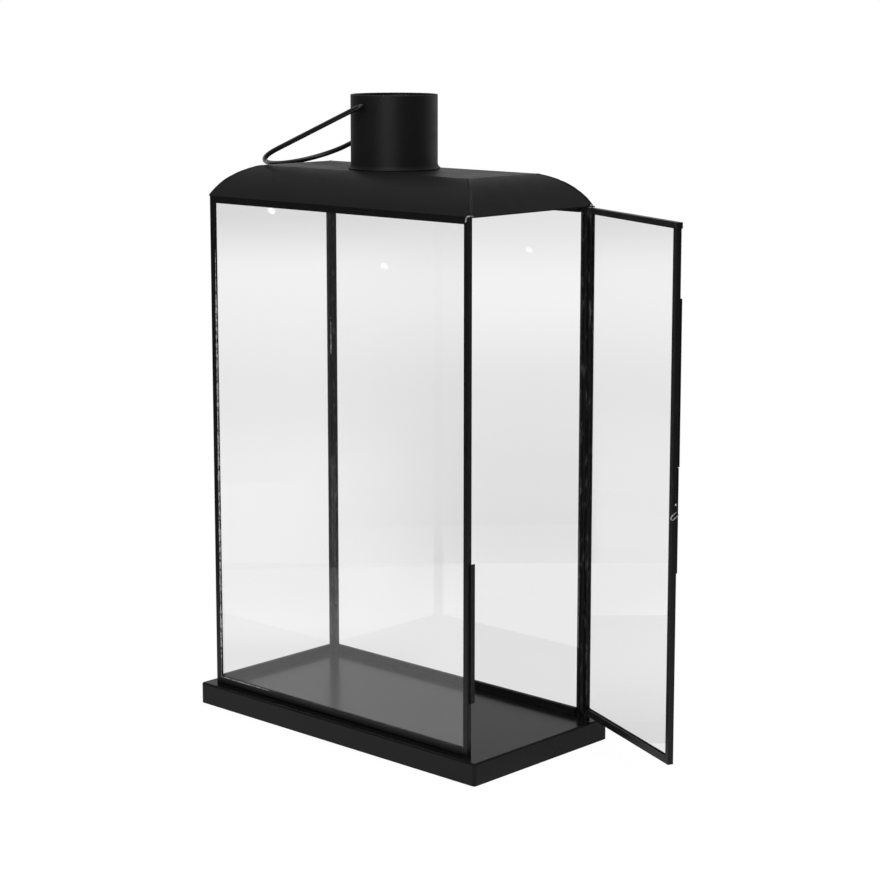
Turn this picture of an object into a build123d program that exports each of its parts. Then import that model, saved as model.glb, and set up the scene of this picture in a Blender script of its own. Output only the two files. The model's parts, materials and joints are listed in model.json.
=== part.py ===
from build123d import *
import math
import os

os.makedirs("parts", exist_ok=True)

# A sheet-metal candle lantern with glass sides, an end door, a cushion roof, a chimney and a wire bail.
# Millimetres, +Z up. X runs along the lantern and the door is at +X. The front is at -Y.
# The origin is the middle of the underside of the base.

# Frame of corner posts and rails
frame_length = 335.0
frame_depth = 163.0
frame_top = 501.5
sheet = 1.0
post_flange = 8.0
near_post_flange = 5.0
bend_radius = 0.9
top_rail_height = 6.6
bottom_rail_height = 7.0
sill_gap_length = 206.0
sill_gap_height = 0.9

# Base
base_height = 20.6
base_ledge = 10.9
base_sheet = 1.2
base_corner = 2.2
base_edge = 0.8
bottom_sheet = 1.0
bottom_fit = 0.1

# Glass
glass_thickness = 2.0
glass_fit = 0.15
glass_side_gap = 0.3

# Roof
flat_top_depth = 90.0
roof_rise = 29.2
roof_bulge = 5.4
eave_overhang = 0.4
door_eave_overhang = 4.0

# Chimney
chimney_margin = 4.5
chimney_wall = 1.0
chimney_height = 69.3
chimney_tail = 3.0
chimney_fit = 0.05
hem_height = 4.0
hem_edge = 0.6
collar_spread = 2.5
collar_height = 4.2
collar_lap = 0.5

# Bail
wire_diameter = 4.7
bail_drop = 10.0
bail_side_gap = 1.6
bail_leg = 118.5
bail_flare = 2.6
bail_bend = 3.4
bail_stub = 5.0
bail_rest_gap = 0.3
bail_lift = 1.4
pivot_fit = 0.06

# Door
door_thickness = 5.6
door_gap = 2.0
door_lift = 4.2
door_top_gap = 0.6
door_open = 66.9
hinge_stile_face = 7.6
free_stile_face = 5.0
door_top_rail_face = 5.4
door_top_rail_end = 1.2
door_bottom_rail_face = 6.4
door_glass_lap = 2.7
pin_diameter = 3.0
pin_inset = 3.0
pin_grip = 12.0
pin_tail = 5.0
pin_head = 1.6
pin_press = 0.02
bush_diameter = 7.0
bush_play = 0.3
ear_radius = 3.4
header_width = 8.0
header_lip_gap = 0.2
roof_notch_gap = 0.6

# Strips and catch on the door and the near post, with heights as parts of the door's height
lap_thickness = 1.3
lap_width = 5.4
lap_start = 0.557
lap_end = 0.863
catch_plate_thickness = 0.6
catch_plate_start = 0.36
catch_plate_gap = 0.6
stop_thickness = 1.2
stop_width = 5.4
stop_setback = 3.0
stop_start = 0.0925
stop_end = 0.3585
catch_wire = 1.1
catch_spacing = 2.6
catch_length = 7.2
catch_slope = 50.0
catch_height = 0.468
catch_reach = 0.7
rivet_diameter = 2.2
rivet_height = 0.8
rivet_rise = 9.6
rivet_edge = 0.7

# How far a cutting or trimming shape runs past what it cuts
cut_over = 1.0

# Derived positions
frame_shift = (door_gap + door_thickness) / 2
x0 = -frame_length / 2 - frame_shift
x1 = frame_length / 2 - frame_shift
y0 = -frame_depth / 2
y1 = frame_depth / 2
base_length = frame_length + 2 * base_ledge + door_gap + door_thickness
base_depth = frame_depth + 2 * base_ledge
channel = 2 * sheet + 2 * glass_fit + glass_thickness
glass_in = sheet + glass_fit
glass_edge = channel - sheet + glass_side_gap
door_bottom = base_height + door_lift
door_top = frame_top - sheet - door_top_gap
door_height = door_top - door_bottom
door_in = x1 + door_gap
door_out = door_in + door_thickness
door_mid = door_in + door_thickness / 2
door_free = y0
pin_x = door_mid
pin_y = y1 - pin_inset
pin_radius = pin_diameter / 2
hinge_axis = Axis((pin_x, pin_y, 0), (0, 0, 1))
roof_x0 = x0 - eave_overhang
roof_x1 = x1 + door_eave_overhang
roof_y = y1 + eave_overhang
roof_run = roof_y - flat_top_depth / 2
flat_z = frame_top + roof_rise
flat_x0 = roof_x0 + roof_run
flat_x1 = roof_x1 - roof_run
flat_y = flat_top_depth / 2
chimney_x = -frame_shift
chimney_radius = flat_y - chimney_margin
chimney_top = flat_z + chimney_height
wire_radius = wire_diameter / 2
pivot_z = chimney_top - bail_drop


def block(xa, xb, ya, yb, za, zb):
    middle = ((xa + xb) / 2, (ya + yb) / 2, (za + zb) / 2)
    return Pos(*middle) * Box(abs(xb - xa), abs(yb - ya), abs(zb - za))


def plan_prism(points, za, zb):
    return extrude(Pos(0, 0, za) * Polygon(*points, align=None), amount=zb - za, dir=(0, 0, 1))


def profile_along_x(points, xa, xb):
    face = Plane((xa, 0, 0), x_dir=(0, 1, 0), z_dir=(1, 0, 0)) * Polygon(*points, align=None)
    return extrude(face, amount=xb - xa, dir=(1, 0, 0))


def profile_along_y(points, ya, yb):
    face = Plane((0, ya, 0), x_dir=(1, 0, 0), z_dir=(0, -1, 0)) * Polygon(*points, align=None)
    return extrude(face, amount=yb - ya, dir=(0, 1, 0))


def channel_section(a, b, low, high, web_low):
    # U-section of folded sheet in (across, up) with its web below or above
    if web_low:
        return [(a, high), (a, low), (b, low), (b, high), (b - sheet, high),
                (b - sheet, low + sheet), (a + sheet, low + sheet), (a + sheet, high)]
    return [(a, low), (a, high), (b, high), (b, low), (b - sheet, low),
            (b - sheet, high - sheet), (a + sheet, high - sheet), (a + sheet, low)]


def round_edges(shape, axis, place, radius):
    # rounds the one edge along an axis that passes nearest to a place
    edge = shape.edges().filter_by(axis).sort_by_distance(place)[0]
    return fillet(edge, radius)


# Base: an inverted tray folded from sheet, closed underneath by a plate let into its skirt
tray = block(-base_length / 2, base_length / 2, -base_depth / 2, base_depth / 2, 0, base_height)
tray = fillet(tray.edges().filter_by(Axis.Z), base_corner)
tray = chamfer(tray.faces().sort_by(Axis.Z)[-1].edges(), base_edge)
tray_inside = block(-base_length / 2 + base_sheet, base_length / 2 - base_sheet,
                    -base_depth / 2 + base_sheet, base_depth / 2 - base_sheet,
                    -cut_over, base_height - base_sheet)
tray_inside = fillet(tray_inside.edges().filter_by(Axis.Z), base_corner - base_sheet)
lower_pivot_hole = Pos(pin_x, pin_y, base_height) * Cylinder(pin_radius + pivot_fit, 4 * base_sheet)
base_tray = tray - tray_inside - lower_pivot_hole

bottom_inset = base_sheet + bottom_fit
base_bottom = block(-base_length / 2 + bottom_inset, base_length / 2 - bottom_inset,
                    -base_depth / 2 + bottom_inset, base_depth / 2 - bottom_inset,
                    0, bottom_sheet)
base_bottom = chamfer(base_bottom.edges().filter_by(Axis.Z), base_corner - base_sheet)


# Corner posts: angles folded from sheet that stand on the base. The near one, by the door's
# free edge, is narrower than the others.
def corner_post(cx, cy, sx, sy, flange):
    points = [(0, 0), (flange, 0), (flange, sheet), (sheet, sheet), (sheet, flange), (0, flange)]
    placed = [(cx + sx * u, cy + sy * v) for u, v in points]
    post = plan_prism(placed, base_height, frame_top)
    return round_edges(post, Axis.Z, (cx, cy, frame_top / 2), bend_radius)


post_front_far = corner_post(x0, y0, 1, 1, post_flange)
post_front_door = corner_post(x1, y0, -1, 1, near_post_flange)
post_back_far = corner_post(x0, y1, 1, -1, post_flange)
post_back_door = corner_post(x1, y1, -1, -1, post_flange)

# Rails: channels between the posts that hold the glass at its foot and its head
front_xa = x0 + post_flange
front_xb = x1 - near_post_flange
back_xb = x1 - post_flange
end_ya = y0 + post_flange
end_yb = y1 - post_flange
sill_top = base_height + bottom_rail_height
head_low = frame_top - top_rail_height

front_sill = channel_section(y0, y0 + channel, base_height, sill_top, True)
front_head = channel_section(y0, y0 + channel, head_low, frame_top, False)
back_sill = channel_section(y1 - channel, y1, base_height, sill_top, True)
back_head = channel_section(y1 - channel, y1, head_low, frame_top, False)
far_sill = channel_section(x0, x0 + channel, base_height, sill_top, True)
far_head = channel_section(x0, x0 + channel, head_low, frame_top, False)

bottom_rail_front = profile_along_x(front_sill, front_xa, front_xb)
bottom_rail_front = round_edges(bottom_rail_front, Axis.X, (0, y0, base_height), bend_radius)
# the middle of the front rail stands a little off the base and leaves a dark line under it
front_middle = (front_xa + front_xb) / 2
sill_gap = block(front_middle - sill_gap_length / 2, front_middle + sill_gap_length / 2,
                 y0 - cut_over, y0 + channel / 2, base_height - cut_over, base_height + sill_gap_height)
bottom_rail_front = bottom_rail_front - sill_gap
bottom_rail_back = profile_along_x(back_sill, front_xa, back_xb)
bottom_rail_back = round_edges(bottom_rail_back, Axis.X, (0, y1, base_height), bend_radius)
bottom_rail_far = profile_along_y(far_sill, end_ya, end_yb)
bottom_rail_far = round_edges(bottom_rail_far, Axis.Y, (x0, 0, base_height), bend_radius)
top_rail_front = profile_along_x(front_head, front_xa, front_xb)
top_rail_back = profile_along_x(back_head, front_xa, back_xb)
top_rail_far = profile_along_y(far_head, end_ya, end_yb)

# Door header: a strip under the end eave, with an ear that the door's top pin turns in
header_points = [(x1 - header_width, y0 + near_post_flange), (x1, y0 + near_post_flange), (x1, y0),
                 (roof_x1 - header_lip_gap, y0), (roof_x1 - header_lip_gap, y1), (x1, y1),
                 (x1, end_yb), (x1 - header_width, end_yb)]
door_header = plan_prism(header_points, frame_top - sheet, frame_top)
ear_middle = Pos(pin_x, pin_y, frame_top - sheet / 2)
ear = ear_middle * Cylinder(ear_radius, sheet)
ear = ear - block(x1 - 4 * ear_radius, x1, y0, y1 + ear_radius, 0, frame_top + cut_over)
upper_pivot_hole = ear_middle * Cylinder(pin_radius + pivot_fit, 4 * sheet)
door_header = door_header + ear - upper_pivot_hole

# Glass of the three fixed sides
glass_low = base_height + sheet + glass_fit
glass_high = frame_top - sheet - glass_fit
pane_front = block(x0 + glass_edge, x1 - glass_edge, y0 + glass_in, y0 + glass_in + glass_thickness,
                   glass_low, glass_high)
pane_back = block(x0 + glass_edge, x1 - glass_edge, y1 - glass_in - glass_thickness, y1 - glass_in,
                  glass_low, glass_high)
pane_far = block(x0 + glass_in, x0 + glass_in + glass_thickness, y0 + glass_edge, y1 - glass_edge,
                 glass_low, glass_high)

# Roof: a flat top and four curved panels that meet at mitred hips, like a cushion. Every panel has
# the same bent section, so each hip runs at 45 degrees in plan.
chord = math.hypot(roof_run, roof_rise)
arc_radius = (chord * chord / 4 + roof_bulge * roof_bulge) / (2 * roof_bulge)
slope_out = roof_rise / chord
slope_up = roof_run / chord
arc_drop = arc_radius - roof_bulge


def panel_section(eave):
    # the closed section of one curved panel, in (across, up), from its eave to the flat top
    middle = (eave - roof_run / 2, frame_top + roof_rise / 2)
    cx = middle[0] - arc_drop * slope_out
    cz = middle[1] - arc_drop * slope_up
    inner = arc_radius - sheet
    eave_out = (eave, frame_top)
    top_out = (eave - roof_run, flat_z)
    crown_out = (cx + arc_radius * slope_out, cz + arc_radius * slope_up)
    crown_in = (cx + inner * slope_out, cz + inner * slope_up)
    eave_in = (cx + math.sqrt(inner ** 2 - (frame_top - cz) ** 2), frame_top)
    top_in = (eave - roof_run, cz + math.sqrt(inner ** 2 - (eave - roof_run - cx) ** 2))
    outline = [ThreePointArc(top_out, crown_out, eave_out), Line(eave_out, eave_in),
               ThreePointArc(eave_in, crown_in, top_in), Line(top_in, top_out)]
    return make_face(Wire(outline))


roof_ceiling = flat_z + cut_over
roof_floor = frame_top - cut_over
roof_middle = (roof_x0 + roof_x1) / 2
past_x0 = roof_x0 - cut_over
past_x1 = roof_x1 + cut_over
past_y = roof_y + cut_over
side_plan = [(flat_x0, flat_y), (flat_x1, flat_y), (past_x1, past_y), (past_x0, past_y)]
end_plan = [(flat_x1, -flat_y), (flat_x1, flat_y), (past_x1, past_y), (past_x1, -past_y)]
side_bar = extrude(Plane((past_x0, 0, 0), x_dir=(0, 1, 0), z_dir=(1, 0, 0)) * panel_section(roof_y),
                   amount=past_x1 - past_x0, dir=(1, 0, 0))
end_bar = extrude(Plane((0, -past_y, 0), x_dir=(1, 0, 0), z_dir=(0, -1, 0)) * panel_section(roof_x1),
                  amount=2 * past_y, dir=(0, 1, 0))
roof_back = side_bar & plan_prism(side_plan, roof_floor, roof_ceiling)
roof_front = mirror(roof_back, Plane.XZ)
end_panel = end_bar & plan_prism(end_plan, roof_floor, roof_ceiling)
roof_far_end = mirror(end_panel, Plane((roof_middle, 0, 0), x_dir=(0, 1, 0), z_dir=(1, 0, 0)))
# the end of the door's top pin stands in a notch of the end eave
pin_notch = Pos(pin_x, pin_y, frame_top) * Cylinder(pin_radius + roof_notch_gap, 4 * pin_head)
roof_door_end = end_panel - pin_notch
chimney_hole = Pos(chimney_x, 0, flat_z) * Cylinder(chimney_radius + chimney_fit, 4 * sheet)
roof_top = block(flat_x0, flat_x1, -flat_y, flat_y, flat_z - sheet, flat_z) - chimney_hole

# Chimney: a rolled tube hemmed inwards at its mouth, with a hole each side for the bail
tube_low = flat_z - sheet - chimney_tail
tube_in = chimney_radius - chimney_wall
hem_in = tube_in - chimney_wall
tube_half = Polygon((tube_in, tube_low), (chimney_radius, tube_low),
                    (chimney_radius, chimney_top - hem_edge), (chimney_radius - hem_edge, chimney_top),
                    (hem_in, chimney_top), (hem_in, chimney_top - hem_height),
                    (tube_in, chimney_top - hem_height), align=None)
chimney_plane = Plane((chimney_x, 0, 0), x_dir=(1, 0, 0), z_dir=(0, -1, 0))
chimney_axis = Axis((chimney_x, 0, 0), (0, 0, 1))
chimney_tube = revolve(chimney_plane * tube_half, chimney_axis)
bail_holes = Pos(chimney_x, 0, pivot_z) * Rot(90, 0, 0)
bail_holes = bail_holes * Cylinder(wire_radius + pivot_fit, 3 * chimney_radius)
chimney_tube = chimney_tube - bail_holes

# Collar: the small flared foot where the chimney meets the flat top
collar_in = chimney_radius + chimney_fit
collar_waist = (collar_in + collar_lap + collar_spread / 5, flat_z + collar_height / 3)
collar_half = Polygon((collar_in, flat_z), (collar_in + collar_spread, flat_z), collar_waist,
                      (collar_in + collar_lap, flat_z + collar_height),
                      (collar_in, flat_z + collar_height), align=None)
chimney_collar = revolve(chimney_plane * collar_half, chimney_axis)

# Bail: one round wire that hooks into the chimney's two holes. It comes to rest on the curved end
# panels, so its limits follow from the roof. It is stiff in its holes and stands a little off the
# far panel.
leg_side = chimney_radius + bail_side_gap + wire_radius
flare = math.atan2(bail_flare, bail_leg)
loop_radius = (leg_side + bail_flare) * math.cos(flare)
bail_reach = bail_leg + loop_radius
wire_seat = wire_radius + bail_rest_gap


def lying_angle(eave_distance):
    # how far below level the bail lies when it meets the arc of an end panel, in degrees
    arc_away = eave_distance - roof_run / 2 - arc_drop * slope_out
    arc_below = pivot_z - frame_top - roof_rise / 2 + arc_drop * slope_up
    to_arc = math.acos((arc_radius + wire_seat) / math.hypot(arc_away, arc_below))
    return math.degrees(to_arc - math.atan2(arc_away, arc_below))


bail_far_angle = lying_angle(chimney_x - roof_x0)
bail_door_angle = lying_angle(roof_x1 - chimney_x)
bail_tilt = bail_far_angle - bail_lift
bail_travel = 180 + bail_tilt + bail_door_angle
turn = math.pi / 2 - flare
bend_run = bail_bend * math.tan(turn / 2)
stub_end = chimney_radius - chimney_wall - bail_stub
bend_a = (0, -leg_side + bend_run)
bend_b = (bend_run * math.cos(flare), -leg_side - bend_run * math.sin(flare))
bend_reach = math.hypot(bail_bend, bend_run)
bend_middle_x = bail_bend - bail_bend * bail_bend / bend_reach
bend_middle_y = -leg_side + bend_run - bail_bend * bend_run / bend_reach
loop_a = (bail_leg - loop_radius * math.sin(flare), -loop_radius * math.cos(flare))
bail_half = [Line((0, -stub_end), bend_a), ThreePointArc(bend_a, (bend_middle_x, bend_middle_y), bend_b),
             Line(bend_b, loop_a)]
bail_loop = ThreePointArc(loop_a, (bail_reach, 0), (loop_a[0], -loop_a[1]))
far_bend_a = (bend_a[0], -bend_a[1])
far_bend_b = (bend_b[0], -bend_b[1])
far_half = [Line((loop_a[0], -loop_a[1]), far_bend_b),
            ThreePointArc(far_bend_b, (bend_middle_x, -bend_middle_y), far_bend_a),
            Line(far_bend_a, (0, stub_end))]
bail_path = Wire(bail_half + [bail_loop] + far_half)
bail_section = Plane((0, -stub_end, 0), x_dir=(1, 0, 0), z_dir=(0, -1, 0)) * Circle(wire_radius)
bail = sweep(bail_section, bail_path)
bail = Pos(chimney_x, 0, pivot_z) * Rot(0, 180 - bail_tilt, 0) * bail

# Door, drawn shut and then turned about its pins to stand open as it does in use
stile_end = y1 - hinge_stile_face
groove_a = door_mid - glass_thickness / 2 - glass_fit
groove_b = door_mid + glass_thickness / 2 + glass_fit
groove_end = stile_end + door_glass_lap + glass_fit
hinge_points = [(door_in, y1), (door_in, stile_end), (groove_a, stile_end), (groove_a, groove_end),
                (groove_b, groove_end), (groove_b, stile_end), (door_out, stile_end), (door_out, y1)]
door_hinge_stile = plan_prism(hinge_points, door_bottom, door_top)
door_hinge_stile = round_edges(door_hinge_stile, Axis.Z, (door_in, y1, door_top / 2), bend_radius)
door_hinge_stile = round_edges(door_hinge_stile, Axis.Z, (door_out, y1, door_top / 2), bend_radius)
pin_bore = Cylinder(pin_radius + pin_press, 2 * pin_grip)
door_hinge_stile = door_hinge_stile - Pos(pin_x, pin_y, door_bottom) * pin_bore
door_hinge_stile = door_hinge_stile - Pos(pin_x, pin_y, door_top) * pin_bore

free_inner = door_free + free_stile_face
free_points = [(door_in, free_inner), (door_in, door_free), (door_out, door_free), (door_out, free_inner),
               (door_out - sheet, free_inner), (door_out - sheet, door_free + sheet),
               (door_in + sheet, door_free + sheet), (door_in + sheet, free_inner)]
door_head_low = door_top - door_top_rail_face
door_free_stile = plan_prism(free_points, door_bottom, door_head_low)
door_free_stile = round_edges(door_free_stile, Axis.Z, (door_in, door_free, door_top / 2), bend_radius)
door_free_stile = round_edges(door_free_stile, Axis.Z, (door_out, door_free, door_top / 2), bend_radius)

door_head = channel_section(door_in, door_out, door_head_low, door_top, False)
door_sill = channel_section(door_in, door_out, door_bottom, door_bottom + door_bottom_rail_face, True)
# the top rail runs over the free stile and its closed end stands a little past it
rail_end = door_free - door_top_rail_end
door_top_rail = profile_along_y(door_head, rail_end, stile_end)
door_top_rail = door_top_rail + block(door_in, door_out, rail_end, rail_end + sheet, door_head_low, door_top)
door_bottom_rail = profile_along_y(door_sill, free_inner, stile_end)
door_pane = block(door_mid - glass_thickness / 2, door_mid + glass_thickness / 2,
                  door_free + sheet + glass_fit, stile_end + door_glass_lap,
                  door_bottom + sheet + glass_fit, door_top - sheet - glass_fit)

# Pins that the door turns on: one up through the header's ear, one down through the base
hinge_pin_top = Pos(pin_x, pin_y, door_top - pin_grip) * Cylinder(
    pin_radius, frame_top + pin_head - door_top + pin_grip, align=(Align.CENTER, Align.CENTER, Align.MIN))
hinge_pin_bottom = Pos(pin_x, pin_y, base_height - pin_tail) * Cylinder(
    pin_radius, door_lift + pin_tail + pin_grip, align=(Align.CENTER, Align.CENTER, Align.MIN))
bush_height = door_lift - bush_play
pivot_bush = Pos(pin_x, pin_y, base_height + bush_height / 2) * (
    Cylinder(bush_diameter / 2, bush_height) - Cylinder(pin_radius + pivot_fit, 2 * bush_height))


def at_height(part):
    return door_bottom + part * door_height


# Strips: a lap strip and a thin catch plate on the door's outer face, and a stop on the near post
door_lap_strip = block(door_out, door_out + lap_thickness, door_free, door_free + lap_width,
                       at_height(lap_start), at_height(lap_end))
catch_plate = block(door_out, door_out + catch_plate_thickness, door_free, door_free + lap_width,
                    at_height(catch_plate_start), at_height(lap_start) - catch_plate_gap)
door_stop = block(x1, x1 + stop_thickness, y0 + stop_setback, y0 + stop_setback + stop_width,
                  at_height(stop_start), at_height(stop_end))

# Catch: a bright hairpin of spring wire laid slantwise on the door's free edge, under a rivet
catch_radius = catch_wire / 2
lean = math.radians(catch_slope)
along = (math.cos(lean), math.sin(lean))
across = (-math.sin(lean), math.cos(lean))
half_space = catch_spacing / 2
loop_x = door_in - catch_reach + half_space + catch_radius
loop_z = at_height(catch_height)


def catch_point(run, side):
    x = loop_x + run * along[0] + side * across[0]
    z = loop_z + run * along[1] + side * across[1]
    return (x, door_free - catch_radius, z)


upper_end = catch_point(catch_length, half_space)
lower_end = catch_point(catch_length, -half_space)
catch_path = Polyline(upper_end, catch_point(-half_space, half_space),
                      catch_point(-half_space, -half_space), lower_end)
catch_face = Plane(upper_end, z_dir=(-along[0], 0, -along[1])) * Circle(catch_radius)
catch_spring = sweep(catch_face, catch_path, transition=Transition.RIGHT)
catch_rivet = Cylinder(rivet_diameter / 2, rivet_height, align=(Align.CENTER, Align.CENTER, Align.MIN))
catch_rivet = chamfer(catch_rivet.edges().sort_by(Axis.Z)[-1], rivet_height / 2)
rivet_x = door_out - rivet_edge - rivet_diameter / 2
catch_rivet = Pos(rivet_x, door_free, loop_z + rivet_rise) * Rot(90, 0, 0) * catch_rivet

housing = {
    "base_tray": base_tray,
    "base_bottom": base_bottom,
    "post_front_far": post_front_far,
    "post_front_door": post_front_door,
    "post_back_far": post_back_far,
    "post_back_door": post_back_door,
    "bottom_rail_front": bottom_rail_front,
    "bottom_rail_back": bottom_rail_back,
    "bottom_rail_far": bottom_rail_far,
    "top_rail_front": top_rail_front,
    "top_rail_back": top_rail_back,
    "top_rail_far": top_rail_far,
    "door_header": door_header,
    "pane_front": pane_front,
    "pane_back": pane_back,
    "pane_far": pane_far,
    "roof_top": roof_top,
    "roof_front": roof_front,
    "roof_back": roof_back,
    "roof_door_end": roof_door_end,
    "roof_far_end": roof_far_end,
    "chimney_tube": chimney_tube,
    "chimney_collar": chimney_collar,
    "pivot_bush": pivot_bush,
    "door_stop": door_stop,
}
door = {
    "door_hinge_stile": door_hinge_stile,
    "door_free_stile": door_free_stile,
    "door_top_rail": door_top_rail,
    "door_bottom_rail": door_bottom_rail,
    "door_pane": door_pane,
    "hinge_pin_top": hinge_pin_top,
    "hinge_pin_bottom": hinge_pin_bottom,
    "door_lap_strip": door_lap_strip,
    "catch_plate": catch_plate,
    "catch_spring": catch_spring,
    "catch_rivet": catch_rivet,
}
for name, shape in housing.items():
    export_step(shape, f"parts/{name}.step")
for name, shape in door.items():
    export_step(shape.rotate(hinge_axis, door_open), f"parts/{name}.step")
export_step(bail, "parts/bail.step")

print("door pin", pin_x, pin_y, "door shut at", -door_open)
print("bail pivot", chimney_x, pivot_z, "tilt", bail_tilt, "limits", -bail_lift, bail_travel)
print("flat top", flat_x0, flat_x1, flat_y, flat_z, "chimney top", chimney_top, "radius", chimney_radius)
print("base", base_length, base_depth, "frame", x0, x1, "reach of bail", bail_reach)
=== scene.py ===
import json
import math
import bmesh
import bpy
from mathutils import Matrix, Vector, noise


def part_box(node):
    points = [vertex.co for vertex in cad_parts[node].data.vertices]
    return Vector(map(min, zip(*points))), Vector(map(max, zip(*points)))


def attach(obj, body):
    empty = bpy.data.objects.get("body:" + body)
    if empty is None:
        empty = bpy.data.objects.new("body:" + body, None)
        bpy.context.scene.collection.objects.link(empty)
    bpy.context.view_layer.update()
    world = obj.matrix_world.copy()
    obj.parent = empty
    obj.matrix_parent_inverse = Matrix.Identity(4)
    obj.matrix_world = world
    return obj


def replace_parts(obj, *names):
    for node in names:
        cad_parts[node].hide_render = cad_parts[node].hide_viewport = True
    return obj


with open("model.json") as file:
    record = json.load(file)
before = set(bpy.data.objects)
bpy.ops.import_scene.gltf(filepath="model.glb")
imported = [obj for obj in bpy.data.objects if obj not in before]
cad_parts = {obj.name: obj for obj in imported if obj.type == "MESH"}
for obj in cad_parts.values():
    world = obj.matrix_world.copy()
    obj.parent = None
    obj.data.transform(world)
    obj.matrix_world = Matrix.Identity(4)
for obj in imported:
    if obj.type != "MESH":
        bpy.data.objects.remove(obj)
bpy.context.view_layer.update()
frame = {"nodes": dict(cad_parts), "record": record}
scene = bpy.context.scene
scene.view_settings.view_transform = "Standard"


# Base
# An inverted tray folded from thin steel, with a plate let in underneath. The folds along its top edge
# and the welded corners are rounded. It is sprayed satin black, and its top is the cabin's floor.
def satin_black(name, dark, pale, rough, mirror, smear, cloudy=0.045):
    """Sprayed satin black: a slow drift of tone, a fine orange peel, and smears of old sealant."""
    paint = bpy.data.materials.new(name)
    paint.use_nodes = True
    nodes = paint.node_tree.nodes
    join = paint.node_tree.links.new
    coat = nodes["Principled BSDF"]
    coat.inputs["IOR"].default_value = 1.5
    coat.inputs["Specular IOR Level"].default_value = mirror
    place = nodes.new("ShaderNodeTexCoord")
    drift = nodes.new("ShaderNodeTexNoise")
    drift.inputs["Scale"].default_value = 16.0
    drift.inputs["Detail"].default_value = 4.0
    join(place.outputs["Object"], drift.inputs["Vector"])
    tone = nodes.new("ShaderNodeValToRGB")
    tone.color_ramp.elements[0].position = 0.35
    tone.color_ramp.elements[0].color = dark
    tone.color_ramp.elements[1].position = 0.7
    tone.color_ramp.elements[1].color = pale
    join(drift.outputs["Fac"], tone.inputs["Fac"])
    drawn_out = nodes.new("ShaderNodeMapping")
    drawn_out.inputs["Scale"].default_value = (1.0, 1.0, 0.3)
    join(place.outputs["Object"], drawn_out.inputs["Vector"])
    patch = nodes.new("ShaderNodeTexNoise")
    patch.inputs["Scale"].default_value = 260.0
    patch.inputs["Detail"].default_value = 3.0
    join(drawn_out.outputs["Vector"], patch.inputs["Vector"])
    wiped = nodes.new("ShaderNodeMapRange")
    wiped.inputs["From Min"].default_value = 0.58
    wiped.inputs["From Max"].default_value = 0.74
    wiped.inputs["To Max"].default_value = smear
    join(patch.outputs["Fac"], wiped.inputs["Value"])
    marked = nodes.new("ShaderNodeMix")
    marked.data_type = "RGBA"
    marked.inputs["B"].default_value = (0.3, 0.3, 0.29, 1.0)
    join(wiped.outputs["Result"], marked.inputs["Factor"])
    join(tone.outputs["Color"], marked.inputs["A"])
    join(marked.outputs["Result"], coat.inputs["Base Color"])
    cloud = nodes.new("ShaderNodeTexNoise")
    cloud.inputs["Scale"].default_value = 60.0
    cloud.inputs["Detail"].default_value = 5.0
    join(place.outputs["Object"], cloud.inputs["Vector"])
    haze = nodes.new("ShaderNodeMapRange")
    haze.inputs["From Min"].default_value = 0.3
    haze.inputs["From Max"].default_value = 0.7
    haze.inputs["To Min"].default_value = rough - cloudy
    haze.inputs["To Max"].default_value = rough + cloudy
    join(cloud.outputs["Fac"], haze.inputs["Value"])
    join(haze.outputs["Result"], coat.inputs["Roughness"])
    peel = nodes.new("ShaderNodeTexNoise")
    peel.inputs["Scale"].default_value = 700.0
    peel.inputs["Detail"].default_value = 2.0
    join(place.outputs["Object"], peel.inputs["Vector"])
    skin = nodes.new("ShaderNodeBump")
    skin.inputs["Strength"].default_value = 0.012
    skin.inputs["Distance"].default_value = 0.0001
    join(peel.outputs["Fac"], skin.inputs["Height"])
    join(skin.outputs["Normal"], coat.inputs["Normal"])
    return paint


def finish(material, *names):
    """Gives CAD nodes a finish, in the slots that they came with."""
    for name in names:
        for held in frame["nodes"][name].material_slots:
            held.material = material


base_paint = satin_black("base_paint", (0.0068, 0.0068, 0.0069, 1.0), (0.0088, 0.0088, 0.0089, 1.0),
                         rough=0.195, mirror=0.12, smear=0.001, cloudy=0.006)
finish(base_paint, "base_tray", "base_bottom")


def new_piece(name, shape, material, body, smooth=True):
    """Turns a bmesh into a piece that rides on a body of the lantern."""
    bmesh.ops.recalc_face_normals(shape, faces=shape.faces)
    for face in shape.faces:
        face.smooth = smooth
    mesh = bpy.data.meshes.new(name)
    shape.to_mesh(mesh)
    shape.free()
    mesh.materials.append(material)
    piece = bpy.data.objects.new(name, mesh)
    scene.collection.objects.link(piece)
    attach(piece, body)
    return piece


tray_low, tray_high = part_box("base_tray")
tray_size = tray_high - tray_low
tray_sheet = 0.0012
corner_round = 0.0026
fold_round = 0.0019
round_steps = 6
rim_height = tray_high.z - 1e-6
tray = bmesh.new()
bmesh.ops.create_cube(tray, size=1.0)
bmesh.ops.scale(tray, vec=tray_size, verts=tray.verts)
bmesh.ops.translate(tray, vec=(tray_low + tray_high) / 2, verts=tray.verts)
underside = [face for face in tray.faces if face.normal.z < -0.5]
bmesh.ops.delete(tray, geom=underside, context="FACES_ONLY")
corners = [edge for edge in tray.edges if abs(edge.verts[0].co.z - edge.verts[1].co.z) > tray_size.z / 2]
bmesh.ops.bevel(tray, geom=corners, offset=corner_round, segments=round_steps, profile=0.5,
                affect="EDGES", material=-1)
rim = [edge for edge in tray.edges
       if not edge.is_boundary and all(vert.co.z > rim_height for vert in edge.verts)]
bmesh.ops.bevel(tray, geom=rim, offset=fold_round, segments=round_steps, profile=0.5,
                affect="EDGES", material=-1)
bmesh.ops.solidify(tray, geom=tray.faces[:], thickness=tray_sheet)
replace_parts(new_piece("base_shell", tray, base_paint, "housing", smooth=False), "base_tray")


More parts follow.
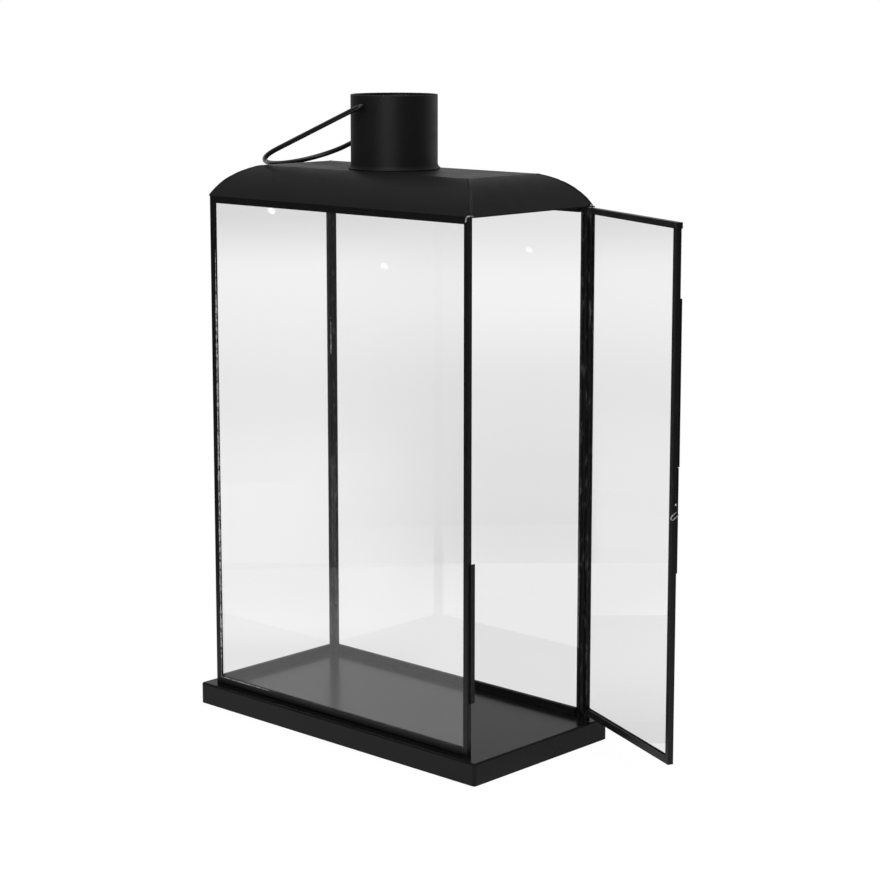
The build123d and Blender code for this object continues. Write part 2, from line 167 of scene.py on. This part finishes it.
# Corner posts and rails
# Angles and channels folded from one-millimetre steel, which stand on the base as a cage. Their satin
# black is rougher than the base's, and smears of sealant show on the back posts and the hinge stile.
frame_paint = satin_black("frame_paint", (0.005, 0.005, 0.0049, 1.0), (0.008, 0.008, 0.0077, 1.0),
                          rough=0.36, mirror=0.22, smear=0.02)
smeared_paint = satin_black("smeared_paint", (0.005, 0.005, 0.0049, 1.0), (0.008, 0.008, 0.0077, 1.0),
                            rough=0.4, mirror=0.22, smear=0.35)
finish(smeared_paint, "post_back_far", "post_back_door", "door_hinge_stile")
finish(frame_paint, "post_front_far", "post_front_door",
       "bottom_rail_front", "bottom_rail_back", "bottom_rail_far",
       "top_rail_front", "top_rail_back", "top_rail_far", "door_header", "pivot_bush", "door_stop")


# Glass
# Two-millimetre float glass, loose in the channels of the cage and of the door. It is clear with a
# trace of grey, and it lets the lamps through to the cabin floor.
def window_glass(name, tint):
    """Clear glass that bends what is seen through it and casts only a faint shadow."""
    pane = bpy.data.materials.new(name)
    pane.use_nodes = True
    nodes = pane.node_tree.nodes
    join = pane.node_tree.links.new
    body = nodes["Principled BSDF"]
    body.inputs["Base Color"].default_value = tint
    body.inputs["Roughness"].default_value = 0.0
    body.inputs["IOR"].default_value = 1.45
    body.inputs["Transmission Weight"].default_value = 1.0
    clear = nodes.new("ShaderNodeBsdfTransparent")
    clear.inputs["Color"].default_value = (0.9, 0.9, 0.9, 1.0)
    path = nodes.new("ShaderNodeLightPath")
    either = nodes.new("ShaderNodeMixShader")
    join(path.outputs["Is Shadow Ray"], either.inputs["Fac"])
    join(body.outputs["BSDF"], either.inputs[1])
    join(clear.outputs["BSDF"], either.inputs[2])
    join(either.outputs["Shader"], nodes["Material Output"].inputs["Surface"])
    return pane


clear_glass = window_glass("clear_glass", (0.995, 0.995, 0.994, 1.0))
finish(clear_glass, "pane_front", "pane_back", "pane_far", "door_pane")


# Sealant and painted highlights
# Ragged lines of grey putty, squeezed out between the glass, the posts and the front rail and only
# partly wiped away. Their pale tone is also a painted highlight along the glass edges and the rail's fold.
# A crumb of putty sits where the near post meets the eave.
putty_and_highlight = bpy.data.materials.new("putty_and_highlight")
putty_and_highlight.use_nodes = True
putty_and_highlight_nodes = putty_and_highlight.node_tree.nodes
putty_and_highlight_join = putty_and_highlight.node_tree.links.new
putty_and_highlight_place = putty_and_highlight_nodes.new("ShaderNodeTexCoord")
putty_and_highlight_noise = putty_and_highlight_nodes.new("ShaderNodeTexNoise")
putty_and_highlight_noise.inputs["Scale"].default_value = 420.0
putty_and_highlight_noise.inputs["Detail"].default_value = 2.0
putty_and_highlight_join(putty_and_highlight_place.outputs["Object"], putty_and_highlight_noise.inputs["Vector"])
# Dark and pale putty. The pale end also serves as a painted highlight on the lines.
putty_and_highlight_tone = putty_and_highlight_nodes.new("ShaderNodeValToRGB")
putty_and_highlight_tone.color_ramp.elements[0].position = 0.36
putty_and_highlight_tone.color_ramp.elements[0].color = (0.1, 0.1, 0.1, 1.0)
putty_and_highlight_tone.color_ramp.elements[1].position = 0.6
putty_and_highlight_tone.color_ramp.elements[1].color = (0.6, 0.6, 0.58, 1.0)
putty_and_highlight_join(putty_and_highlight_noise.outputs["Fac"], putty_and_highlight_tone.inputs["Fac"])
putty_and_highlight_join(putty_and_highlight_tone.outputs["Color"], putty_and_highlight_nodes["Principled BSDF"].inputs["Base Color"])
putty_and_highlight_nodes["Principled BSDF"].inputs["Roughness"].default_value = 0.45
line_sides = 8
ring_spacing = 0.002
fewest_rings = 8
end_thickness = 0.3
end_share = 0.125
swellings = 240.0


def gather(whole, shape):
    """Moves a finished bmesh into a larger one."""
    carrier = bpy.data.meshes.new("carrier")
    shape.to_mesh(carrier)
    shape.free()
    whole.from_mesh(carrier)
    bpy.data.meshes.remove(carrier)


def ragged_line(whole, start, end, radius, ripple):
    """Adds a round line between two points, with swellings along it and thin ends."""
    start = Vector(start)
    end = Vector(end)
    run = end - start
    heading = run.to_track_quat("Z", "Y").to_matrix().to_4x4()
    line = bmesh.new()
    bmesh.ops.create_cone(line, cap_ends=True, segments=line_sides, radius1=radius, radius2=radius,
                          depth=run.length, matrix=Matrix.Translation((start + end) / 2) @ heading)
    sides = [edge for edge in line.edges if edge.calc_length() > 0.9 * run.length]
    rings = max(fewest_rings, int(run.length / ring_spacing))
    bmesh.ops.subdivide_edges(line, edges=sides, cuts=rings)
    for vert in line.verts:
        share = (vert.co - start).dot(run) / run.length_squared
        middle = start + run * share
        full = min(1.0, share / end_share, (1.0 - share) / end_share)
        thinned = end_thickness + (1.0 - end_thickness) * full
        swollen = 1.0 + ripple * noise.noise(vert.co * swellings)
        vert.co = middle + (vert.co - middle) * thinned * swollen
    gather(whole, line)


post_low, post_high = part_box("post_front_far")
putty_and_highlight_face = post_low.y + 0.0002
post_line_x = post_high.x - 0.0007
post_line_foot = 0.026
post_line_head = 0.45
rail_low, rail_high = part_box("bottom_rail_front")
rail_line_z = rail_high.z - 0.0003
rail_line_start = rail_low.x - 0.004
rail_line_end = rail_low.x + 0.07
far_low, far_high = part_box("post_back_far")
seep_and_glint_x = far_low.x + 0.0012
seep_and_glint_y = far_high.y - 0.0039
lower_seep_and_glint_foot = 0.331
lower_seep_and_glint_head = 0.3645
upper_seep_and_glint_foot = 0.3672
upper_seep_and_glint_head = 0.369
crumb_corner = Vector((0.1674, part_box("post_front_door")[0].y - 0.0006, 0.5026))
crumb_bend = crumb_corner + Vector((-0.0054, 0.0002, -0.0012))
crumb_foot = crumb_bend + Vector((-0.0012, 0.0, -0.0048))
crumb_tip = crumb_corner + Vector((0.0006, 0.0034, -0.0014))
lines = bmesh.new()
# Pale lines along the near post and the front rail: putty, and a painted highlight on the glass edge and
# the rail's fold.
ragged_line(lines, (post_line_x, putty_and_highlight_face, post_line_foot), (post_line_x, putty_and_highlight_face, post_line_head),
            radius=0.0008, ripple=0.6)
ragged_line(lines, (rail_line_start, putty_and_highlight_face, rail_line_z), (rail_line_end, putty_and_highlight_face, rail_line_z),
            radius=0.0005, ripple=0.5)
# Two short pale lines in the back post's corner: putty, and a painted glint on the glass edge.
ragged_line(lines, (seep_and_glint_x, seep_and_glint_y, lower_seep_and_glint_foot), (seep_and_glint_x, seep_and_glint_y, lower_seep_and_glint_head),
            radius=0.0006, ripple=0.2)
ragged_line(lines, (seep_and_glint_x, seep_and_glint_y, upper_seep_and_glint_foot), (seep_and_glint_x, seep_and_glint_y, upper_seep_and_glint_head),
            radius=0.0007, ripple=0.2)
ragged_line(lines, crumb_foot, crumb_bend, radius=0.0008, ripple=0.5)
ragged_line(lines, crumb_bend, crumb_corner, radius=0.0006, ripple=0.5)
ragged_line(lines, crumb_corner, crumb_tip, radius=0.0007, ripple=0.5)
new_piece("sealant_and_highlight_lines", lines, putty_and_highlight, "housing")


# Roof
# Four curved panels and a flat top, welded along the hips and dressed smooth before painting. The
# welds stay visible as low rounded seams that run from the flat top to the corners of the eaves.
roof_paint = satin_black("roof_paint", (0.0048, 0.0048, 0.0051, 1.0), (0.0062, 0.0062, 0.0066, 1.0),
                         rough=0.48, mirror=0.3, smear=0.004)
finish(roof_paint, "roof_top", "roof_front", "roof_back", "roof_door_end", "roof_far_end")
roof_low, roof_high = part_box("roof_front")
eave_left = roof_low.x
eave_right = roof_high.x
eave_front = roof_low.y
eave_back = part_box("roof_back")[1].y
panel_radius = 0.05397
panel_inset = 0.0486
panel_middle_height = 0.478
eave_angle = math.radians(26.5)
crest_angle = math.radians(77.0)
seam_radius = 0.0016
seam_sunk = 0.0012
seam_ripple = 0.0003
seam_grain = 260.0
seam_seed = 5
noise.seed_set(seam_seed)
seams = bmesh.new()
for corner_x, corner_y, heading in ((eave_right, eave_front, -45), (eave_right, eave_back, 45),
                                    (eave_left, eave_back, 135), (eave_left, eave_front, 225)):
    seam = bmesh.new()
    foot = Matrix.Rotation(-eave_angle, 4, "Y") @ Matrix.Translation((panel_radius - seam_sunk, 0, 0))
    bmesh.ops.create_circle(seam, segments=10, radius=seam_radius, matrix=foot)
    bmesh.ops.spin(seam, geom=seam.verts[:] + seam.edges[:], cent=(0, 0, 0), axis=(0, -1, 0),
                   angle=crest_angle - eave_angle, steps=28)
    bmesh.ops.holes_fill(seam, edges=[edge for edge in seam.edges if edge.is_boundary])
    bmesh.ops.scale(seam, vec=(math.sqrt(2), 1, 1), verts=seam.verts)
    away = Vector((math.copysign(panel_inset, corner_x), math.copysign(panel_inset, corner_y), 0))
    middle = Vector((corner_x, corner_y, panel_middle_height)) - away
    bmesh.ops.transform(seam, verts=seam.verts,
                        matrix=Matrix.Translation(middle) @ Matrix.Rotation(math.radians(heading), 4, "Z"))
    for vert in seam.verts:
        vert.co += seam_ripple * noise.noise_vector(vert.co * seam_grain)
    gather(seams, seam)
new_piece("hip_seams", seams, roof_paint, "housing")


# Chimney
# A tube rolled from sheet and hemmed inwards at its mouth, on a small flared foot. The fold of the
# hem and the rolled edge of the foot are smooth round beads.
finish(roof_paint, "chimney_tube", "chimney_collar")


def round_bead(name, middle, radius, thickness):
    """A ring of round section that lies level."""
    bead = bmesh.new()
    section = Matrix.Translation(middle + Vector((radius, 0, 0))) @ Matrix.Rotation(math.pi / 2, 4, "X")
    bmesh.ops.create_circle(bead, segments=12, radius=thickness, matrix=section)
    bmesh.ops.spin(bead, geom=bead.verts[:] + bead.edges[:], cent=middle, axis=(0, 0, 1),
                   angle=2 * math.pi, steps=128, use_merge=True)
    bmesh.ops.remove_doubles(bead, verts=bead.verts, dist=1e-6)
    return new_piece(name, bead, roof_paint, "housing")


tube_low, tube_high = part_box("chimney_tube")
foot_low, foot_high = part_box("chimney_collar")
hem_thickness = 0.0009
edge_thickness = 0.0012
tube_middle = (tube_low + tube_high) / 2
tube_radius = (tube_high.x - tube_low.x) / 2
foot_radius = (foot_high.x - foot_low.x) / 2
round_bead("chimney_bead", Vector((tube_middle.x, tube_middle.y, tube_high.z - hem_thickness)),
           tube_radius - hem_thickness, hem_thickness)
round_bead("foot_bead", Vector((tube_middle.x, tube_middle.y, foot_low.z + edge_thickness)),
           foot_radius - edge_thickness, edge_thickness)


# Bail
# One round wire, bent to a long loop and hooked into the chimney. It is painted black and a little
# shinier than the sheet metal.
bail_paint = satin_black("bail_paint", (0.005, 0.005, 0.005, 1.0), (0.008, 0.0079, 0.0077, 1.0),
                         rough=0.24, mirror=0.55, smear=0.02)
finish(bail_paint, "bail")


# Door
# Two stiles and two rails hold a pane, and strips of flat steel cover the gap at its free edge. It
# turns on a pin at each end of the hinge stile.
door_paint = satin_black("door_paint", (0.005, 0.005, 0.0049, 1.0), (0.008, 0.008, 0.0078, 1.0),
                         rough=0.38, mirror=0.3, smear=0.03)
finish(door_paint, "door_free_stile", "door_top_rail", "door_bottom_rail",
       "door_lap_strip", "catch_plate")


# Pins and catch
# Bare steel: two short pins that the door turns on, and a hairpin of spring wire that keeps it shut.
# The hairpin lies slantwise on the door's free edge, under a small rivet.
def bare_steel(name):
    """Drawn steel wire: bright, with a fine change of gloss along it."""
    steel = bpy.data.materials.new(name)
    steel.use_nodes = True
    nodes = steel.node_tree.nodes
    join = steel.node_tree.links.new
    metal = nodes["Principled BSDF"]
    metal.inputs["Base Color"].default_value = (0.62, 0.62, 0.6, 1.0)
    metal.inputs["Metallic"].default_value = 1.0
    place = nodes.new("ShaderNodeTexCoord")
    drawn = nodes.new("ShaderNodeTexNoise")
    drawn.inputs["Scale"].default_value = 1500.0
    join(place.outputs["Object"], drawn.inputs["Vector"])
    rough = nodes.new("ShaderNodeMapRange")
    rough.inputs["To Min"].default_value = 0.16
    rough.inputs["To Max"].default_value = 0.38
    join(drawn.outputs["Fac"], rough.inputs["Value"])
    join(rough.outputs["Result"], metal.inputs["Roughness"])
    return steel


steel = bare_steel("bare_steel")
finish(steel, "hinge_pin_top", "hinge_pin_bottom", "catch_spring", "catch_rivet")
joints = {joint["name"]: joint for joint in frame["record"]["behaviour"]["joints"]}
door_turn = -math.radians(joints["door_hinge"]["range_deg"][0])
catch_low, catch_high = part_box("catch_spring")
catch_middle = (catch_low + catch_high) / 2
catch_drop = 0.0018
catch_lean = math.radians(40)
wire_radius = 0.0005
bend_radius = 0.0017
leg_length = 0.006
hairpin = bmesh.new()
wire_end = Matrix.Translation((-leg_length / 2, bend_radius, 0)) @ Matrix.Rotation(math.pi / 2, 4, "Y")
bmesh.ops.create_circle(hairpin, segments=12, radius=wire_radius, matrix=wire_end)
bmesh.ops.spin(hairpin, geom=hairpin.verts[:] + hairpin.edges[:], cent=(-leg_length / 2, 0, 0),
               axis=(0, 0, 1), angle=math.pi, steps=16)
open_ends = [edge for edge in hairpin.edges if edge.is_boundary]
legs = bmesh.ops.extrude_edge_only(hairpin, edges=open_ends)["geom"]
leg_ends = [item for item in legs if isinstance(item, bmesh.types.BMVert)]
bmesh.ops.translate(hairpin, vec=(leg_length, 0, 0), verts=leg_ends)
bmesh.ops.holes_fill(hairpin, edges=[edge for edge in hairpin.edges if edge.is_boundary])
catch_middle.z -= catch_drop
catch_place = Matrix.Translation(catch_middle) @ Matrix.Rotation(door_turn, 4, "Z")
catch_tilt = Matrix.Rotation(math.pi / 2, 4, "X") @ Matrix.Rotation(catch_lean, 4, "Z")
bmesh.ops.transform(hairpin, matrix=catch_place @ catch_tilt, verts=hairpin.verts)
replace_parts(new_piece("catch_hairpin", hairpin, steel, "door"), "catch_spring")


# Table
# A square pale table top, turned to face the camera, that the lantern stands on. It looks white and
# keeps a soft shadow. Its brightness differs where it is seen through the panes or mirrored in them.
# Through the panes it carries painted shade near the lantern and painted light behind the door.
table_half = 0.8
table_aside = 0.08
table_back = -0.17
table_turn = Matrix.Rotation(math.radians(43.08), 4, "Z")
table_shape = bmesh.new()
bmesh.ops.create_grid(table_shape, x_segments=1, y_segments=1, size=table_half,
                      matrix=table_turn @ Matrix.Translation((table_aside, table_back, 0.0)))
table_mesh = bpy.data.meshes.new("table")
table_shape.to_mesh(table_mesh)
table_shape.free()
table = bpy.data.objects.new("table", table_mesh)
scene.collection.objects.link(table)
table_white = bpy.data.materials.new("table_white")
table_white.use_nodes = True
table_tree = table_white.node_tree
table_nodes = table_tree.nodes
table_join = table_tree.links.new
table_nodes.remove(table_nodes["Principled BSDF"])
cloth = table_nodes.new("ShaderNodeBsdfDiffuse")
cloth.inputs["Color"].default_value = (0.9, 0.9, 0.9, 1.0)
ray = table_nodes.new("ShaderNodeLightPath")
spot = table_nodes.new("ShaderNodeTexCoord")
to_the_right = (0.73, 0.683, 0.0)
away_from_camera = (-0.683, 0.73, 0.0)
past_the_door = (0.773, 0.637, 0.0)
one_mirror = 0.5
glow_share = 0.85


def feed(tree, value, socket):
    """Gives a socket a number, or links another node's output to it."""
    if isinstance(value, bpy.types.NodeSocket):
        tree.links.new(value, socket)
    else:
        socket.default_value = value


def worked_out(tree, operation, first, second):
    """One step of arithmetic on two numbers or outputs."""
    step = tree.nodes.new("ShaderNodeMath")
    step.operation = operation
    feed(tree, first, step.inputs[0])
    feed(tree, second, step.inputs[1])
    return step.outputs["Value"]


def soft_run(tree, place, heading, start, end, first, last):
    """A soft change of brightness along a heading, from a first level to a last."""
    run = tree.nodes.new("ShaderNodeVectorMath")
    run.operation = "DOT_PRODUCT"
    run.inputs[1].default_value = heading
    tree.links.new(place, run.inputs[0])
    change = tree.nodes.new("ShaderNodeMapRange")
    change.interpolation_type = "SMOOTHSTEP"
    change.inputs["From Min"].default_value = start
    change.inputs["From Max"].default_value = end
    feed(tree, first, change.inputs["To Min"])
    feed(tree, last, change.inputs["To Max"])
    tree.links.new(run.outputs["Value"], change.inputs["Value"])
    return change.outputs["Result"]


def table_run(heading, start, end, first, last):
    """A soft change of brightness over the table top."""
    return soft_run(table_tree, spot.outputs["Object"], heading, start, end, first, last)


def both(first, second):
    """Two changes of brightness on the table, one times the other."""
    return worked_out(table_tree, "MULTIPLY", first, second)


# Seen through the panes, the table is painted darker near the lantern, a painted shadow. It is also
# painted darker to the right.
left_fade = both(table_run(away_from_camera, 0.2, 0.36, 0.9, 1.0),
                 table_run(away_from_camera, 0.4, 0.62, 1.0, 1.035))
left_half = table_run(to_the_right, -0.05, 0.05, left_fade, 1.0)
middle_half = both(table_run(to_the_right, -0.07, 0.03, 1.0, 0.925),
                   table_run(to_the_right, 0.05, 0.09, 1.0, 0.95))
# Behind the door the table is painted brighter, with painted shade towards the lantern.
door_fade = table_run(away_from_camera, -0.08, 0.2, 1.03, 1.18)
behind_door = table_run(past_the_door, 0.168, 0.18, 1.0, door_fade)
through_glass = both(both(left_half, middle_half), behind_door)
brightness = table_nodes.new("ShaderNodeMapRange")
brightness.inputs["To Min"].default_value = 1.1
table_join(through_glass, brightness.inputs["To Max"])
table_join(ray.outputs["Is Transmission Ray"], brightness.inputs["Value"])
left_to_right = both(table_run(to_the_right, -0.75, -0.45, 0.35, 1.1),
                     table_run(to_the_right, 0.0, 0.2, 1.0, 0.65))
in_a_mirror = both(left_to_right, table_run(away_from_camera, 0.0, 0.25, 1.0, 0.2))
mirrored = worked_out(table_tree, "GREATER_THAN", ray.outputs["Glossy Depth"], one_mirror)
shown = table_nodes.new("ShaderNodeMix")
table_join(mirrored, shown.inputs["Factor"])
table_join(brightness.outputs["Result"], shown.inputs["A"])
table_join(in_a_mirror, shown.inputs["B"])
glow = table_nodes.new("ShaderNodeEmission")
table_join(shown.outputs["Result"], glow.inputs["Strength"])
camera_or_glossy = worked_out(table_tree, "MAXIMUM", ray.outputs["Is Camera Ray"],
                              ray.outputs["Is Glossy Ray"])
seen = worked_out(table_tree, "MAXIMUM", camera_or_glossy, ray.outputs["Is Transmission Ray"])
blend = table_nodes.new("ShaderNodeMixShader")
table_join(both(seen, glow_share), blend.inputs["Fac"])
table_join(cloth.outputs["BSDF"], blend.inputs[1])
table_join(glow.outputs["Emission"], blend.inputs[2])
table_join(blend.outputs["Shader"], table_nodes["Material Output"].inputs["Surface"])
table_mesh.materials.append(table_white)


# Studio
# The backdrop is plain white to the eye. Through the glass it is a pale sweep of paper with soft
# bands of light. The metal mirrors a bright sweep behind the lantern and a dim room in front.
studio = bpy.data.worlds.new("studio")
scene.world = studio
studio.use_nodes = True
studio_tree = studio.node_tree
studio_nodes = studio_tree.nodes
studio_join = studio_tree.links.new
backdrop = studio_nodes["Background"]
backdrop.inputs["Color"].default_value = (1.0, 1.0, 1.0, 1.0)
backdrop.inputs["Strength"].default_value = 1.0
sky = studio_nodes.new("ShaderNodeTexCoord")
direction = studio_nodes.new("ShaderNodeSeparateXYZ")
studio_join(sky.outputs["Generated"], direction.inputs["Vector"])
lowest_band = -0.4
highest_band = 0.8
level = studio_nodes.new("ShaderNodeMapRange")
level.inputs["From Min"].default_value = lowest_band
level.inputs["From Max"].default_value = highest_band
studio_join(direction.outputs["Z"], level.inputs["Value"])


def bands(*stops):
    """A vertical run of light: pairs of height above the horizon and brightness."""
    ramp = studio_nodes.new("ShaderNodeValToRGB")
    ramp.color_ramp.interpolation = "EASE"
    elements = ramp.color_ramp.elements
    while len(elements) < len(stops):
        elements.new(0.5)
    for element, (up, bright) in zip(elements, stops):
        element.position = (up - lowest_band) / (highest_band - lowest_band)
        element.color = (bright, bright, bright, 1.0)
    studio_join(level.outputs["Result"], ramp.inputs["Fac"])
    return ramp.outputs["Color"]


def sky_run(heading, start, end, first, last):
    """A soft change of brightness around the room."""
    return soft_run(studio_tree, sky.outputs["Generated"], heading, start, end, first, last)


def mixed(factor, first, second):
    """A tone between two others."""
    mix = studio_nodes.new("ShaderNodeMix")
    mix.data_type = "RGBA"
    studio_join(factor, mix.inputs["Factor"])
    studio_join(first, mix.inputs["A"])
    studio_join(second, mix.inputs["B"])
    return mix.outputs["Result"]


paper_left = bands((-0.3, 0.95), (-0.25, 0.98), (-0.2, 0.99), (-0.169, 0.94), (-0.113, 1.025),
                   (-0.085, 0.8), (0.0, 0.77))
paper_right = bands((-0.3, 0.76), (-0.25, 0.76), (-0.2, 0.8), (-0.17, 0.83), (-0.12, 0.96),
                    (-0.085, 0.82), (0.0, 0.77))
room_front = bands((-0.3, 0.1), (-0.05, 0.12), (0.45, 0.42), (0.7, 0.25))
room_back = bands((-0.3, 0.75), (-0.1, 0.72), (-0.05, 0.35), (0.02, 0.5), (0.15, 0.85), (0.3, 0.6),
                  (0.5, 0.42), (0.7, 0.25))
bright_sweep = (-0.35, 0.94, 0.0)
shaded_strip = worked_out(studio_tree, "MULTIPLY", sky_run(to_the_right, -0.06, 0.03, 0.0, 1.0),
                          sky_run(to_the_right, 0.06, 0.073, 1.0, 0.3))
sideways = worked_out(studio_tree, "MULTIPLY", shaded_strip, sky_run(away_from_camera, 0.0, 0.5, 0.0, 1.0))
paper = mixed(sideways, paper_left, paper_right)
room_tone = mixed(sky_run(bright_sweep, 0.1, 0.95, 0.0, 1.0), room_front, room_back)
sight = studio_nodes.new("ShaderNodeLightPath")
unmirrored = worked_out(studio_tree, "LESS_THAN", sight.outputs["Glossy Depth"], one_mirror)
straight = worked_out(studio_tree, "MULTIPLY", sight.outputs["Is Transmission Ray"], unmirrored)
room = studio_nodes.new("ShaderNodeBackground")
studio_join(mixed(straight, room_tone, paper), room.inputs["Color"])
either_side = studio_nodes.new("ShaderNodeMixShader")
studio_join(sight.outputs["Is Camera Ray"], either_side.inputs["Fac"])
studio_join(room.outputs["Background"], either_side.inputs[1])
studio_join(backdrop.outputs["Background"], either_side.inputs[2])
studio_join(either_side.outputs["Shader"], studio_nodes["World Output"].inputs["Surface"])


def softbox(name, place, target, width, watts):
    """A square lamp that lights the lantern and shows in the metal, but not in the picture itself."""
    light = bpy.data.lights.new(name, "AREA")
    light.shape = "SQUARE"
    light.size = width
    light.energy = watts
    lamp = bpy.data.objects.new(name, light)
    scene.collection.objects.link(lamp)
    lamp.location = place
    lamp.rotation_euler = (Vector(place) - Vector(target)).to_track_quat("Z", "Y").to_euler()
    lamp.visible_camera = False
    lamp.visible_transmission = False
    return lamp


lantern_middle = (0.0, 0.0, 0.3)
softbox("softbox_above", (0.1, -0.3, 2.1), lantern_middle, width=1.5, watts=11.0)
softbox("softbox_front", (1.09, -2.14, 1.0), lantern_middle, width=1.3, watts=14.0)
bulb_target = (0.02, 0.0, 0.4)
bulb_width = 0.012
bulb_height = 0.0085
bulb_turn = math.radians(-35)
for name, place, watts in (("lower_bulb", (-0.795, -0.951, 0.315), 0.00045),
                           ("upper_bulb", (-0.986, -0.909, 0.386), 0.0009)):
    bulb = softbox(name, place, bulb_target, bulb_width, watts)
    bulb.data.shape = "ELLIPSE"
    bulb.data.size_y = bulb_height
    bulb.rotation_euler.rotate_axis("Z", bulb_turn)
    bulb.visible_transmission = True


# Camera
# It stands in front of the near corner post, a little above the roof, and looks slightly down. A small
# shift of the picture lets it tilt less, so that the posts stand more upright.
camera_azimuth = math.radians(43.081)
camera_pitch = math.radians(8.749)
camera_distance = 2.1302
camera_aside = 0.0397
camera_height = 0.3505
camera_lens = 92.574
camera_shift = -0.09
back = Vector((math.sin(camera_azimuth) * math.cos(camera_pitch),
               -math.cos(camera_azimuth) * math.cos(camera_pitch), math.sin(camera_pitch)))
right = Vector((math.cos(camera_azimuth), math.sin(camera_azimuth), 0.0))
up = back.cross(right)
eye = bpy.data.cameras.new("camera")
eye.lens = camera_lens
eye.shift_y = camera_shift
camera = bpy.data.objects.new("camera", eye)
scene.collection.objects.link(camera)
turned = Matrix((right, up, back)).transposed().to_4x4()
stand = back * camera_distance + right * camera_aside + Vector((0, 0, camera_height))
camera.matrix_world = Matrix.Translation(stand) @ turned
scene.camera = camera
